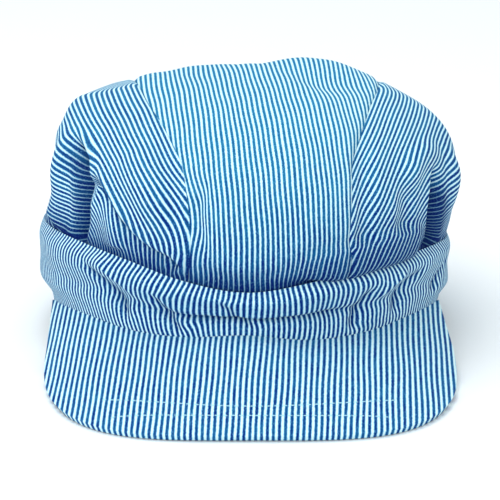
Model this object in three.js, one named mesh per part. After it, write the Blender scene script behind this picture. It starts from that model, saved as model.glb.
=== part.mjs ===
import * as THREE from "three";

// Railroad engineer cap of striped cotton: a full crown of three panels on a tall band, with a broad
// bill. It rests by itself on the back of the band and on the front edge of the bill, so the band is
// lifted at the front. Millimetres, +Z up, the bill points to -Y, left and right as seen from the front.

// Opening and band
const openingHalfWidth = 92.5;
const openingHalfLength = 95;
const openingShift = -2;
const frontLift = 27;
const restingShare = 0.79;
const restingBlend = 0.04;
const bandHeight = 38;
const bandBulge = 4.2;
const bandTopOut = 2;

// Crown
const crownTop = 121.5;
const topTilt = 0.045;
const backSlump = 0.05;
const foldDepth = 10;
const foldWidth = 10;
const bandFade = 0.025;

// Bill
const billLength = 56;
const billFlare = 0.4;
const billEndAngle = 77;
const billWidestShare = 0.41;
const billFloorShare = 0.675;
const billFrontPower = 2.8;
const billFrontPowerLeft = 2.45;
const billSidePower = 3.6;
const billRootRise = 1;
const billEndWidth = 1.2;
const billSwell = 2.6;

// Cloth and clearances
const crownCloth = 1.2;
const bandCloth = 2.2;
const billCloth = 3;
const seamGap = 0.3;
const joinGap = 0.4;

// What follows from them
const billHalfWidth = openingHalfWidth + billFlare;
const billReach = openingHalfLength + billLength;

// Around the cap: direction in degrees from the front, + to the right. Columns: how much higher the band's
// lower edge lies than a plain tilt would put it, as a share of frontLift, the band's height as a share of
// bandHeight, how far the band keeps to its side profile, the crown's reach as a share of the opening, the
// level of its widest point as a share of the way from the band to crownTop, and how square its shoulder is.
const around = [
  { angle: -180, lift: 0, band: 0.9, side: 0.3, reach: 1.05, level: 0.3, shoulder: 2.4 },
  { angle: -135, lift: 0, band: 0.95, side: 0.4, reach: 1.03, level: 0.397, shoulder: 2.5 },
  { angle: -90, lift: 0.05, band: 1.07, side: 1, reach: 0.97, level: 0.423, shoulder: 3.3 },
  { angle: -52, lift: 0.08, band: 0.96, side: 0.3, reach: 1.02, level: 0.276, shoulder: 3 },
  { angle: -32, lift: -0.08, band: 0.9, side: 0.05, reach: 1.04, level: 0.25, shoulder: 2.8 },
  { angle: -17, lift: -0.1, band: 0.735, side: 0, reach: 1.05, level: 0.245, shoulder: 2.6 },
  { angle: 0, lift: -0.04, band: 0.57, side: 0, reach: 1.05, level: 0.26, shoulder: 2.5 },
  { angle: 19, lift: -0.16, band: 0.76, side: 0, reach: 1.05, level: 0.243, shoulder: 2.5 },
  { angle: 34, lift: -0.13, band: 0.845, side: 0.05, reach: 1.055, level: 0.252, shoulder: 2.45 },
  { angle: 59, lift: 0.05, band: 0.84, side: 0.35, reach: 1.06, level: 0.3, shoulder: 2.2 },
  { angle: 90, lift: 0.03, band: 0.855, side: 1, reach: 1.075, level: 0.45, shoulder: 2.05 },
  { angle: 135, lift: 0, band: 0.88, side: 0.4, reach: 1.06, level: 0.368, shoulder: 2.3 },
];

// Up the band: share of its height, and how far it stands out there as a share of bandBulge, where it is
// crushed at the front and where it is full at the side.
const bandProfile = [
  { height: 0, front: 0, side: 0 },
  { height: 0.1, front: 0, side: 0.15 },
  { height: 0.3, front: -0.35, side: 1.3 },
  { height: 0.42, front: -0.7, side: 1.4 },
  { height: 0.55, front: -0.1, side: 1.25 },
  { height: 0.72, front: 0.85, side: 1.05 },
  { height: 0.88, front: 0.95, side: 0.9 },
  { height: 1, front: 0.1, side: 0.4 },
];

// The two long seams of the crown: way runs from the front (-1) to the back (1), left and right are
// shares of the crown's half width when it is spread flat.
const seams = [
  { way: -1, left: -0.26, right: 0.44 },
  { way: -0.88, left: -0.215, right: 0.41 },
  { way: -0.75, left: -0.197, right: 0.378 },
  { way: -0.6, left: -0.205, right: 0.352 },
  { way: -0.45, left: -0.262, right: 0.372 },
  { way: -0.3, left: -0.315, right: 0.395 },
  { way: 0, left: -0.36, right: 0.412 },
  { way: 0.3, left: -0.365, right: 0.41 },
  { way: 0.6, left: -0.33, right: 0.375 },
  { way: 0.85, left: -0.29, right: 0.325 },
  { way: 1, left: -0.28, right: 0.3 },
];

// Folds of the crown, each along a line of directions in degrees and heights as shares of the way from
// the band to the crown's middle. depth is a share of foldDepth, inward when negative, width a share of
// foldWidth to either side, fadeIn and fadeOut the shares of the line over which it rises and dies.
const folds = [
  // deep pleat and the full cloth behind it, left
  { depth: -1.05, width: 0.9, fadeIn: 0, fadeOut: 0.25, angles: [-49, -47, -47, -52, -66], heights: [0, 0.1, 0.22, 0.3, 0.34] },
  { depth: 0.5, width: 1.35, fadeIn: 0.1, fadeOut: 0.5, angles: [-68, -65, -66, -76], heights: [0.02, 0.12, 0.26, 0.4] },
  { depth: 0.2, width: 0.8, fadeIn: 0.1, fadeOut: 0.4, angles: [-37, -37, -38], heights: [0.02, 0.1, 0.2] },
  // slanting fold from the pleat to the foot of the left seam
  { depth: -0.5, width: 0.85, fadeIn: 0.15, fadeOut: 0.1, angles: [-46, -40, -33, -26, -20, -17], heights: [0.25, 0.19, 0.115, 0.074, 0.064, 0.03] },
  { depth: 0.3, width: 1.1, fadeIn: 0.3, fadeOut: 0.3, angles: [-36, -29, -21], heights: [0.38, 0.28, 0.17] },
  { depth: -0.22, width: 0.7, fadeIn: 0.2, fadeOut: 0.4, angles: [-17, -19, -26, -38], heights: [0.1, 0.28, 0.42, 0.52] },
  // deep pleat and the full cloth behind it, right
  { depth: -1.15, width: 0.95, fadeIn: 0, fadeOut: 0.3, angles: [60, 58, 59, 65], heights: [0, 0.08, 0.18, 0.27] },
  { depth: 0.35, width: 1.3, fadeIn: 0.5, fadeOut: 0.5, angles: [77, 76, 78, 84], heights: [0.06, 0.14, 0.24, 0.34] },
  { depth: 0.35, width: 0.7, fadeIn: 0.3, fadeOut: 0.3, angles: [46, 53, 62, 75], heights: [0.23, 0.28, 0.31, 0.33] },
  { depth: -0.28, width: 0.7, fadeIn: 0.3, fadeOut: 0.4, angles: [45, 46, 48], heights: [0.07, 0.16, 0.26] },
  { depth: -0.3, width: 0.8, fadeIn: 0.1, fadeOut: 0.4, angles: [31, 33, 38, 50], heights: [0.06, 0.25, 0.38, 0.48] },
  // cloth folded down over the band, right of the middle
  { depth: -0.5, width: 0.7, fadeIn: 0.25, fadeOut: 0.2, angles: [6, 20, 34, 48, 60], heights: [0.01, 0.012, 0.016, 0.018, 0.016] },
  { depth: 0.35, width: 0.8, fadeIn: 0.35, fadeOut: 0.2, angles: [10, 22, 34, 46, 56], heights: [0.055, 0.065, 0.07, 0.07, 0.065] },
  { depth: -0.25, width: 0.7, fadeIn: 0.3, fadeOut: 0.3, angles: [-14, 0, 12], heights: [0.03, 0.03, 0.03] },
  // soft dents of the front and the top
  { depth: -0.18, width: 1, fadeIn: 0.4, fadeOut: 0.4, angles: [-8, -11, -9], heights: [0.08, 0.22, 0.36] },
  { depth: -0.2, width: 2, fadeIn: 0.4, fadeOut: 0.4, angles: [50, 80, 100], heights: [0.76, 0.72, 0.66] },
  { depth: 0.42, width: 3.6, fadeIn: 0.35, fadeOut: 0.6, angles: [170, 140, 120, 106], heights: [0.78, 0.7, 0.58, 0.46] },
  { depth: 0.2, width: 3, fadeIn: 0.4, fadeOut: 0.4, angles: [-172, -142, -112], heights: [0.8, 0.7, 0.6] },
  // full shoulder of the left side and slack of the right side
  { depth: 0.3, width: 1.3, fadeIn: 0.4, fadeOut: 0.4, angles: [-58, -80, -104], heights: [0.45, 0.43, 0.43] },
  { depth: -0.2, width: 1.2, fadeIn: 0.4, fadeOut: 0.4, angles: [-74, -96, -120], heights: [0.57, 0.55, 0.57] },
  { depth: -0.26, width: 1.6, fadeIn: 0.4, fadeOut: 0.4, angles: [80, 96, 116], heights: [0.12, 0.12, 0.14] },
];

// Gathers of the band: direction in degrees, half width in degrees, depth as a share of bandBulge.
const gathers = [
  { angle: -37, spread: 7, depth: -0.3 },
  { angle: -30, spread: 6, depth: 0.3 },
  { angle: -11, spread: 5, depth: -0.25 },
  { angle: 6, spread: 6, depth: 0.3 },
  { angle: 24, spread: 6, depth: -0.3 },
  { angle: 40, spread: 7, depth: 0.35 },
  { angle: 50, spread: 5, depth: -0.35 },
  { angle: 88, spread: 12, depth: -0.5 },
];

// Columns of facets of a side panel: share of them, and how far round from the front they have come.
const sideSpacing = [
  { columns: 0, along: 0 },
  { columns: 0.25, along: 0.13 },
  { columns: 0.6, along: 0.36 },
  { columns: 1, along: 1 },
];

// Colours of the cloth, seen from far enough for the stripes to run together
const crownColour = 0x92bbd8;
const sideColour = 0x86b1d2;
const bandColour = 0x6d9cc4;
const billColour = 0x87b3d8;

// Fineness of the facets
const centreColumns = 16;
const centreRows = 30;
const sideColumns = 48;
const sideRows = 15;
const sideSplit = 0.6;
const bandColumns = 72;
const bandRows = 7;
const billColumns = 30;
const billRows = 5;
const profileSteps = 24;
const foldSteps = 16;
const normalStep = 0.006;

const degree = Math.PI / 180;
const mix = (a, b, t) => a + (b - a) * t;
const mixPoint = (a, b, t) => a.map((value, axis) => mix(value, b[axis], t));
const clamp01 = (t) => Math.min(1, Math.max(0, t));
const ease = (t) => clamp01(t) ** 2 * (3 - 2 * clamp01(t));
const add = (a, b, scale = 1) => a.map((value, axis) => value + scale * b[axis]);

// Smooth curve through the rows of a table, closed when a period is given.
function smoothCurve(places, values, period = 0) {
  let xs = [...places];
  let ys = [...values];
  if (period) {
    const last = xs.length - 1;
    xs = [xs[last] - period, ...xs, xs[0] + period, xs[1] + period];
    ys = [ys[last], ...ys, ys[0], ys[1]];
  }
  const steps = xs.slice(1).map((x, i) => x - xs[i]);
  const rises = steps.map((step, i) => (ys[i + 1] - ys[i]) / step);
  const slopes = xs.map((_, i) => {
    if (i === 0) return rises[0];
    if (i === xs.length - 1) return rises[i - 1];
    return (rises[i - 1] * steps[i] + rises[i] * steps[i - 1]) / (steps[i - 1] + steps[i]);
  });
  return (at) => {
    const x = period ? places[0] + ((((at - places[0]) % period) + period) % period) : at;
    let i = 0;
    while (i < steps.length - 1 && x >= xs[i + 1]) i += 1;
    const t = clamp01((x - xs[i]) / steps[i]);
    const square = t * t;
    const cube = square * t;
    return (
      (2 * cube - 3 * square + 1) * ys[i] +
      (cube - 2 * square + t) * steps[i] * slopes[i] +
      (3 * square - 2 * cube) * ys[i + 1] +
      (cube - square) * steps[i] * slopes[i + 1]
    );
  };
}

const column = (rows, name) => rows.map((row) => row[name]);
const aroundCurve = (name) => smoothCurve(column(around, "angle"), column(around, name), 360);
const bandShare = aroundCurve("band");
const reachShare = aroundCurve("reach");
const levelShare = aroundCurve("level");
const shoulderPower = aroundCurve("shoulder");
const liftShare = aroundCurve("lift");
const sideShare = aroundCurve("side");
const bandFront = smoothCurve(column(bandProfile, "height"), column(bandProfile, "front"));
const bandSide = smoothCurve(column(bandProfile, "height"), column(bandProfile, "side"));
const sideAlong = smoothCurve(column(sideSpacing, "columns"), column(sideSpacing, "along"));
const seamCurve = {
  left: smoothCurve(column(seams, "way"), column(seams, "left")),
  right: smoothCurve(column(seams, "way"), column(seams, "right")),
};

// Lower edge of the band, on its outer face: an oval that lies on the floor at the back.
function rimPoint(angle) {
  const x = openingShift + openingHalfWidth * Math.sin(angle * degree);
  const y = -openingHalfLength * Math.cos(angle * degree);
  const rise = (restingShare * openingHalfLength - y) / ((1 + restingShare) * openingHalfLength);
  const tilt = (rise + Math.sqrt(rise * rise + restingBlend * restingBlend)) / 2;
  return [x, y, frontLift * (tilt + liftShare(angle) * Math.max(0, rise))];
}

function outwards(angle) {
  const x = Math.sin(angle * degree) / openingHalfWidth;
  const y = -Math.cos(angle * degree) / openingHalfLength;
  const length = Math.hypot(x, y);
  return [x / length, y / length, 0];
}

function bandPoint(angle, height) {
  const crumple = gathers.reduce((sum, gather) => {
    const away = (angle - gather.angle) / gather.spread;
    return sum + gather.depth * Math.exp(-away * away);
  }, 0);
  const stand = mix(bandFront(height), bandSide(height), sideShare(angle));
  const out = bandBulge * (stand + crumple * Math.sin(Math.PI * height) ** 2);
  const point = add(rimPoint(angle), outwards(angle), out + bandTopOut * height);
  return [point[0], point[1], point[2] + height * bandHeight * bandShare(angle)];
}

// Profile of the crown in one direction: from the band out to its widest point and over to the middle.
function crownProfile(angle) {
  const foot = add(bandPoint(angle, 1), outwards(angle), -(bandCloth - crownCloth) / 2);
  const side = Math.sin(angle * degree);
  const front = Math.cos(angle * degree);
  const footRadius = Math.hypot(foot[0] - openingShift, foot[1]);
  const footHeight = foot[2] + joinGap;
  const reach = reachShare(angle) / Math.hypot(side / openingHalfWidth, front / openingHalfLength);
  const level = mix(footHeight, crownTop, levelShare(angle));
  const power = shoulderPower(angle);
  const profile = [];
  for (let i = 0; i <= profileSteps; i += 1) {
    const t = i / profileSteps;
    profile.push({ radius: mix(footRadius, reach, 1 - (1 - t) ** 2), height: mix(footHeight, level, t) });
  }
  for (let i = 1; i <= 2 * profileSteps; i += 1) {
    const turn = (i / (2 * profileSteps)) * (Math.PI / 2);
    const radius = reach * Math.max(0, Math.cos(turn)) ** (2 / power);
    const rise = Math.max(0, 1 - (radius / reach) ** power) ** (1 / power);
    const back = Math.max(0, -radius * front);
    const top = crownTop + topTilt * (openingShift + radius * side) - (backSlump * back * back) / openingHalfLength;
    profile.push({ radius, height: mix(level, top, rise) });
  }
  profile[0].length = 0;
  for (let i = 1; i < profile.length; i += 1) {
    const step = Math.hypot(profile[i].radius - profile[i - 1].radius, profile[i].height - profile[i - 1].height);
    profile[i].length = profile[i - 1].length + step;
  }
  return profile;
}

// Point of the smooth crown: (x, y) lies in a unit disc, its edge on the band and -y to the front.
function crownBase(x, y) {
  const angle = Math.atan2(x, -y) / degree;
  const profile = crownProfile(angle);
  const length = (1 - Math.hypot(x, y)) * profile[profile.length - 1].length;
  let i = 0;
  while (i < profile.length - 2 && profile[i + 1].length < length) i += 1;
  const span = profile[i + 1].length - profile[i].length;
  const t = span > 0 ? (length - profile[i].length) / span : 0;
  const radius = mix(profile[i].radius, profile[i + 1].radius, t);
  const height = mix(profile[i].height, profile[i + 1].height, t);
  return [openingShift + radius * Math.sin(angle * degree), -radius * Math.cos(angle * degree), height];
}

function normalAt(surface, x, y) {
  const along = add(surface(x + normalStep, y), surface(x - normalStep, y), -1);
  const across = add(surface(x, y + normalStep), surface(x, y - normalStep), -1);
  const normal = new THREE.Vector3(...along).cross(new THREE.Vector3(...across)).normalize();
  return normal.toArray();
}

const foldLines = folds.map((fold) => {
  const places = fold.angles.map((_, i) => i / (fold.angles.length - 1));
  const angleAt = smoothCurve(places, fold.angles);
  const heightAt = smoothCurve(places, fold.heights);
  const points = [];
  for (let i = 0; i <= foldSteps; i += 1) {
    const angle = angleAt(i / foldSteps) * degree;
    const spread = 1 - heightAt(i / foldSteps);
    points.push(crownBase(spread * Math.sin(angle), -spread * Math.cos(angle)));
  }
  return points;
});

// Nearest place on a line of points: how far off, and how far along as a share.
function nearestOn(points, point) {
  let best = { distance: Infinity, along: 0 };
  for (let i = 0; i < points.length - 1; i += 1) {
    const step = add(points[i + 1], points[i], -1);
    const offset = add(point, points[i], -1);
    const square = step[0] ** 2 + step[1] ** 2 + step[2] ** 2;
    const t = clamp01((offset[0] * step[0] + offset[1] * step[1] + offset[2] * step[2]) / square);
    const distance = Math.hypot(...add(offset, step, -t));
    if (distance < best.distance) best = { distance, along: (i + t) / (points.length - 1) };
  }
  return best;
}

function foldOffset(point) {
  return folds.reduce((sum, fold, i) => {
    const { distance, along } = nearestOn(foldLines[i], point);
    const away = distance / (fold.width * foldWidth);
    if (away >= 1) return sum;
    const rising = fold.fadeIn > 0 ? ease(along / fold.fadeIn) : 1;
    const dying = fold.fadeOut > 0 ? ease((1 - along) / fold.fadeOut) : 1;
    return sum + fold.depth * foldDepth * (1 - away * away) ** 2 * rising * dying;
  }, 0);
}

// The crown's foot is sewn to the band: folds and the cloth's tilt start just above it.
const freeOfBand = (x, y) => ease((1 - Math.hypot(x, y)) / bandFade);

function crownPoint(x, y) {
  const base = crownBase(x, y);
  const offset = foldOffset(base) * freeOfBand(x, y);
  return offset === 0 ? base : add(base, normalAt(crownBase, x, y), offset);
}

function clothDirection(x, y) {
  const upright = outwards(Math.atan2(x, -y) / degree);
  const direction = mixPoint(upright, normalAt(crownPoint, x, y), freeOfBand(x, y));
  return new THREE.Vector3(...direction).normalize().toArray();
}

// Closed solid between two matching grids of points. A ring joins its last column to its first.
function sheetSolid(outer, inner, ring) {
  const columns = outer.length;
  const rows = outer[0].length;
  const positions = [...outer.flat(), ...inner.flat()].flat();
  const index = [];
  const outerAt = (i, j) => (i % columns) * rows + j;
  const innerAt = (i, j) => columns * rows + outerAt(i, j);
  const quad = (a, b, c, d) => index.push(a, b, c, a, c, d);
  const spans = ring ? columns : columns - 1;
  for (let i = 0; i < spans; i += 1) {
    for (let j = 0; j < rows - 1; j += 1) {
      quad(outerAt(i, j), outerAt(i + 1, j), outerAt(i + 1, j + 1), outerAt(i, j + 1));
      quad(innerAt(i, j), innerAt(i, j + 1), innerAt(i + 1, j + 1), innerAt(i + 1, j));
    }
    quad(outerAt(i, 0), innerAt(i, 0), innerAt(i + 1, 0), outerAt(i + 1, 0));
    quad(outerAt(i, rows - 1), outerAt(i + 1, rows - 1), innerAt(i + 1, rows - 1), innerAt(i, rows - 1));
  }
  if (!ring) {
    for (let j = 0; j < rows - 1; j += 1) {
      quad(outerAt(0, j), outerAt(0, j + 1), innerAt(0, j + 1), innerAt(0, j));
      quad(outerAt(spans, j), innerAt(spans, j), innerAt(spans, j + 1), outerAt(spans, j + 1));
    }
  }
  const geometry = new THREE.BufferGeometry();
  geometry.setAttribute("position", new THREE.Float32BufferAttribute(positions, 3));
  geometry.setIndex(index);
  geometry.computeVertexNormals();
  return geometry;
}

const grid = (columns, rows, make) =>
  Array.from({ length: columns }, (_, i) => Array.from({ length: rows }, (__, j) => make(i, j)));

// Crown panel cut by a function from the panel's own (0..1, 0..1) to the unit disc.
function crownPanel(columns, rows, place) {
  const outer = grid(columns + 1, rows + 1, (i, j) => crownPoint(...place(i / columns, j / rows)));
  const inner = grid(columns + 1, rows + 1, (i, j) => {
    const direction = clothDirection(...place(i / columns, j / rows));
    return add(outer[i][j], direction, -crownCloth);
  });
  return sheetSolid(outer, inner, false);
}

// Point of the disc at a share across and a way from front (-1) to back (1), both ends on its edge.
const discPoint = (x, way) => [x, way * Math.sqrt(1 - x * x)];
const halfSeam = seamGap / 2 / openingHalfWidth;

function centrePlace(across, along) {
  const way = 2 * along - 1;
  const x = mix(seamCurve.left(way) + halfSeam, seamCurve.right(way) - halfSeam, across);
  return discPoint(x, way);
}

// Side panel: four edges, along the band, up the front, over the top beside the seam, and down the back.
function sidePlace(sign, seam) {
  const seamPlace = (way) => discPoint(seam(way) + sign * halfSeam, way);
  const frontFoot = seamPlace(-1);
  const backFoot = seamPlace(1);
  const frontHead = seamPlace(-sideSplit);
  const backHead = seamPlace(sideSplit);
  const startAngle = Math.atan2(Math.abs(frontFoot[0]), -frontFoot[1]);
  const endAngle = Math.atan2(Math.abs(backFoot[0]), -backFoot[1]);
  return (across, up) => {
    const along = sideAlong(sign < 0 ? 1 - across : across);
    const turn = mix(startAngle, endAngle, along);
    const foot = [sign * Math.sin(turn), -Math.cos(turn)];
    const head = seamPlace(mix(-sideSplit, sideSplit, along));
    const front = seamPlace(mix(-1, -sideSplit, up));
    const back = seamPlace(mix(1, sideSplit, up));
    const rising = mixPoint(foot, head, up);
    const running = mixPoint(front, back, along);
    const corners = mixPoint(mixPoint(frontFoot, backFoot, along), mixPoint(frontHead, backHead, along), up);
    return add(add(rising, running), corners, -1);
  };
}

function bandGeometry() {
  const angleAt = (i) => (i / bandColumns) * 360 - 180;
  const outer = grid(bandColumns, bandRows + 1, (i, j) => bandPoint(angleAt(i), j / bandRows));
  const inner = outer.map((line, i) => line.map((point) => add(point, outwards(angleAt(i)), -bandCloth)));
  return sheetSolid(outer, inner, true);
}

// Outline of the bill from one end of its join round the front to the other, evenly spaced.
function billOutline() {
  const end = (sign) => add(rimPoint(sign * billEndAngle), outwards(sign * billEndAngle), joinGap + billEndWidth);
  const points = [end(-1)];
  const steps = 60;
  for (let i = 0; i <= steps; i += 1) {
    const turn = mix(-Math.PI / 2, Math.PI / 2, i / steps);
    const x = billHalfWidth * Math.sign(turn) * Math.abs(Math.sin(turn)) ** (2 / billSidePower);
    const frontPower = turn < 0 ? billFrontPowerLeft : billFrontPower;
    const y = -billReach * mix(billWidestShare, 1, Math.abs(Math.cos(turn)) ** (2 / frontPower));
    points.push([x, y, 0]);
  }
  points.push(end(1));
  const flat = points.map(([x, y]) => [x, y]);
  const lengths = [0];
  flat.slice(1).forEach((point, i) => lengths.push(lengths[i] + Math.hypot(...add(point, flat[i], -1))));
  const total = lengths[lengths.length - 1];
  const floorReach = billFloorShare * billReach;
  return (share) => {
    let i = 0;
    while (i < lengths.length - 2 && lengths[i + 1] < share * total) i += 1;
    const [x, y] = mixPoint(flat[i], flat[i + 1], (share * total - lengths[i]) / (lengths[i + 1] - lengths[i]));
    const rise = Math.max(0, (y + floorReach) / (floorReach + points[0][1]));
    return [x, y, mix(billCloth, points[0][2] + billRootRise, rise ** 1.5)];
  };
}

function billGeometry() {
  const outline = billOutline();
  const top = grid(billColumns + 1, billRows + 1, (i, j) => {
    const share = i / billColumns;
    const out = j / billRows;
    const angle = mix(-billEndAngle, billEndAngle, share);
    const root = add(rimPoint(angle), outwards(angle), joinGap);
    root[2] += billRootRise;
    const point = mixPoint(root, outline(share), out);
    const swell = billSwell * 4 * out * (1 - out) * Math.sin(Math.PI * share);
    return [point[0], point[1], point[2] + swell];
  });
  const underside = top.map((line) => line.map(([x, y, z]) => [x, y, z - billCloth]));
  return sheetSolid(underside, top, false);
}

function clothMesh(name, geometry, colour) {
  const material = new THREE.MeshStandardMaterial({ color: colour, roughness: 0.92, metalness: 0 });
  const mesh = new THREE.Mesh(geometry, material);
  mesh.name = name;
  return mesh;
}

const cap = new THREE.Group();
cap.name = "engineer_cap";
cap.add(
  clothMesh("crown_centre", crownPanel(centreColumns, centreRows, centrePlace), crownColour),
  clothMesh("crown_side_left", crownPanel(sideColumns, sideRows, sidePlace(-1, seamCurve.left)), sideColour),
  clothMesh("crown_side_right", crownPanel(sideColumns, sideRows, sidePlace(1, seamCurve.right)), sideColour),
  clothMesh("band", bandGeometry(), bandColour),
  clothMesh("bill", billGeometry(), billColour),
);

// The origin lies on the floor, under the middle of the whole cap.
const box = new THREE.Box3().setFromObject(cap);
cap.children.forEach((mesh) => mesh.geometry.translate(-(box.min.x + box.max.x) / 2, -(box.min.y + box.max.y) / 2, -box.min.z));

export default cap;
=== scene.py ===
import math

import bmesh
import bpy
import numpy as np
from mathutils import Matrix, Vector


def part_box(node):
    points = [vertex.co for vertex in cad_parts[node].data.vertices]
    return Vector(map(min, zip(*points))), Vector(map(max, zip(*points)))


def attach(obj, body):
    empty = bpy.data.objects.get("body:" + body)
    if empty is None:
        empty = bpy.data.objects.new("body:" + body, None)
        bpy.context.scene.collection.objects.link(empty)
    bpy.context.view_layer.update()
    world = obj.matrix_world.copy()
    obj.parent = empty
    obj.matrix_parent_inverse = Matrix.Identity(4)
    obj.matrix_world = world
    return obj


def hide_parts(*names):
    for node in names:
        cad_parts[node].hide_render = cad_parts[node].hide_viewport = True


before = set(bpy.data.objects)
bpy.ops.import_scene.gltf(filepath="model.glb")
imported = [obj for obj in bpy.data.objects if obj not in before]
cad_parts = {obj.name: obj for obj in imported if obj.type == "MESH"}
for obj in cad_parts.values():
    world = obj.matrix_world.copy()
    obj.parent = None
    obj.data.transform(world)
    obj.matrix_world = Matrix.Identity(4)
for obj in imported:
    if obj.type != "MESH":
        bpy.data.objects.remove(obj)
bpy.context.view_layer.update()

bl_info = {
    "name": "Engineer Cap",
    "version": (1, 0, 0),
    "blender": (4, 5, 0),
    "location": "3D View > Sidebar > Cap",
    "description": "Dresses a railroad engineer cap in hickory stripe cotton, resting on a pale floor",
    "category": "Object",
}


def table(columns, *rows):
    """A short table: the names of its columns, then its rows."""
    return [dict(zip(columns, row)) for row in rows]


# Around the cap. angle: direction in degrees from the front, + to the right.
# lift: how much higher the band's lower edge lies than a plain tilt would put it, as a share of the lift.
# band: the band's height as a share of its full height. side: how far it keeps to its side profile.
# reach: the crown's reach as a share of the opening. level: its widest place as a share of the way up.
# shoulder: how square its shoulder is.
AROUND = table(
    ("angle", "lift", "band", "side", "reach", "level", "shoulder"),
    (-180, 0, 0.9, 0.3, 1.05, 0.3, 2.4),
    (-135, 0, 0.95, 0.4, 1.03, 0.397, 2.5),
    (-90, 0.05, 1.07, 1, 0.97, 0.423, 3.3),
    (-52, 0.08, 0.96, 0.3, 1.02, 0.276, 3),
    (-32, -0.08, 0.9, 0.05, 1.04, 0.25, 2.8),
    (-17, -0.1, 0.735, 0, 1.05, 0.245, 2.6),
    (0, -0.04, 0.57, 0, 1.05, 0.26, 2.5),
    (19, -0.16, 0.76, 0, 1.05, 0.243, 2.5),
    (34, -0.13, 0.845, 0.05, 1.055, 0.252, 2.45),
    (59, 0.05, 0.84, 0.35, 1.06, 0.3, 2.2),
    (90, 0.03, 0.855, 1, 1.075, 0.45, 2.05),
    (135, 0, 0.88, 0.4, 1.06, 0.368, 2.3),
)

# Up the band: share of its height, and how far it stands out there as a share of its bulge, where it is
# crushed at the front and where it is full at the side.
BAND_PROFILE = table(
    ("height", "front", "side"),
    (0, 0, 0),
    (0.1, 0, 0.15),
    (0.3, -0.35, 1.3),
    (0.42, -0.7, 1.4),
    (0.55, -0.1, 1.25),
    (0.72, 0.85, 1.05),
    (0.88, 0.95, 0.9),
    (1, 0.1, 0.4),
)

# The two long seams of the crown, from the front (-1) to the back (1), as shares of its half width.
SEAMS = table(
    ("way", "left", "right"),
    (-1, -0.26, 0.44),
    (-0.88, -0.215, 0.41),
    (-0.75, -0.197, 0.378),
    (-0.6, -0.205, 0.352),
    (-0.45, -0.262, 0.372),
    (-0.3, -0.315, 0.395),
    (0, -0.36, 0.412),
    (0.3, -0.365, 0.41),
    (0.6, -0.33, 0.375),
    (0.85, -0.29, 0.325),
    (1, -0.28, 0.3),
)

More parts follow.
